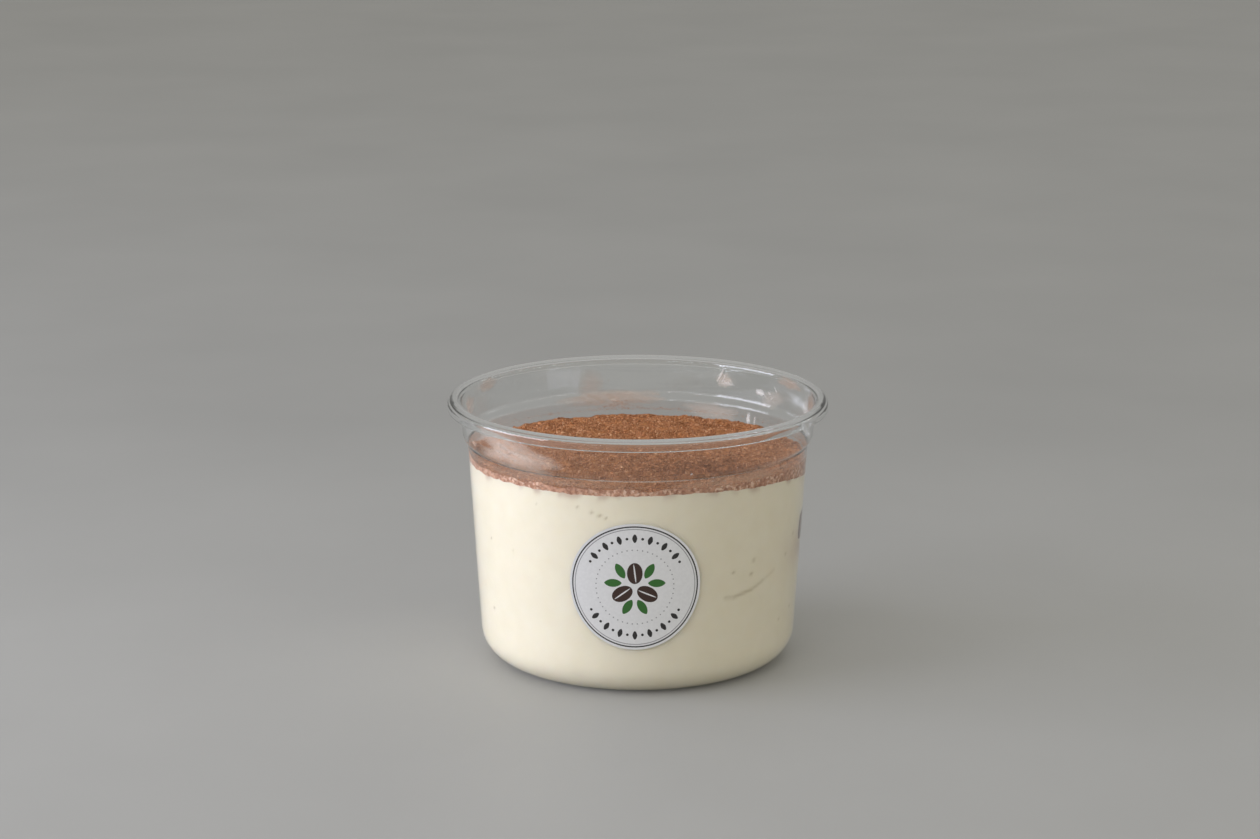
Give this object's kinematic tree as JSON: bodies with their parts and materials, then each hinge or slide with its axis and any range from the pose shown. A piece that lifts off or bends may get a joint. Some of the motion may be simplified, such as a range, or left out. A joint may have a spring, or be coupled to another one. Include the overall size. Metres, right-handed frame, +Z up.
{
  "type": "tiramisu",
  "caption": "Tiramisu in a clear round tub: pale cream round a soaked sponge finger, under a rough layer of cocoa, with a round paper sticker on the wall and headroom above the food",
  "frame": {"origin": "centre of the tub's flat base, on the surface that it stands on", "axes": "+Z up along the tub's axis, which is the shortest way through the object; the sticker faces -Y; the sponge finger lies along X and meets the wall at +X"},
  "size_m": [0.117, 0.117, 0.0819],
  "materials": {
    "clear_plastic": "clear gloss",
    "cream": "soft satin",
    "soaked_sponge": "damp crumb",
    "cocoa": "dry powder",
    "sticker_paper": "coated satin"
  },
  "bodies": {
    "root": {"tub": "clear_plastic", "cream": "cream", "sponge": "soaked_sponge", "cocoa": "cocoa", "sticker": "sticker_paper"}
  },
  "joints": []
}
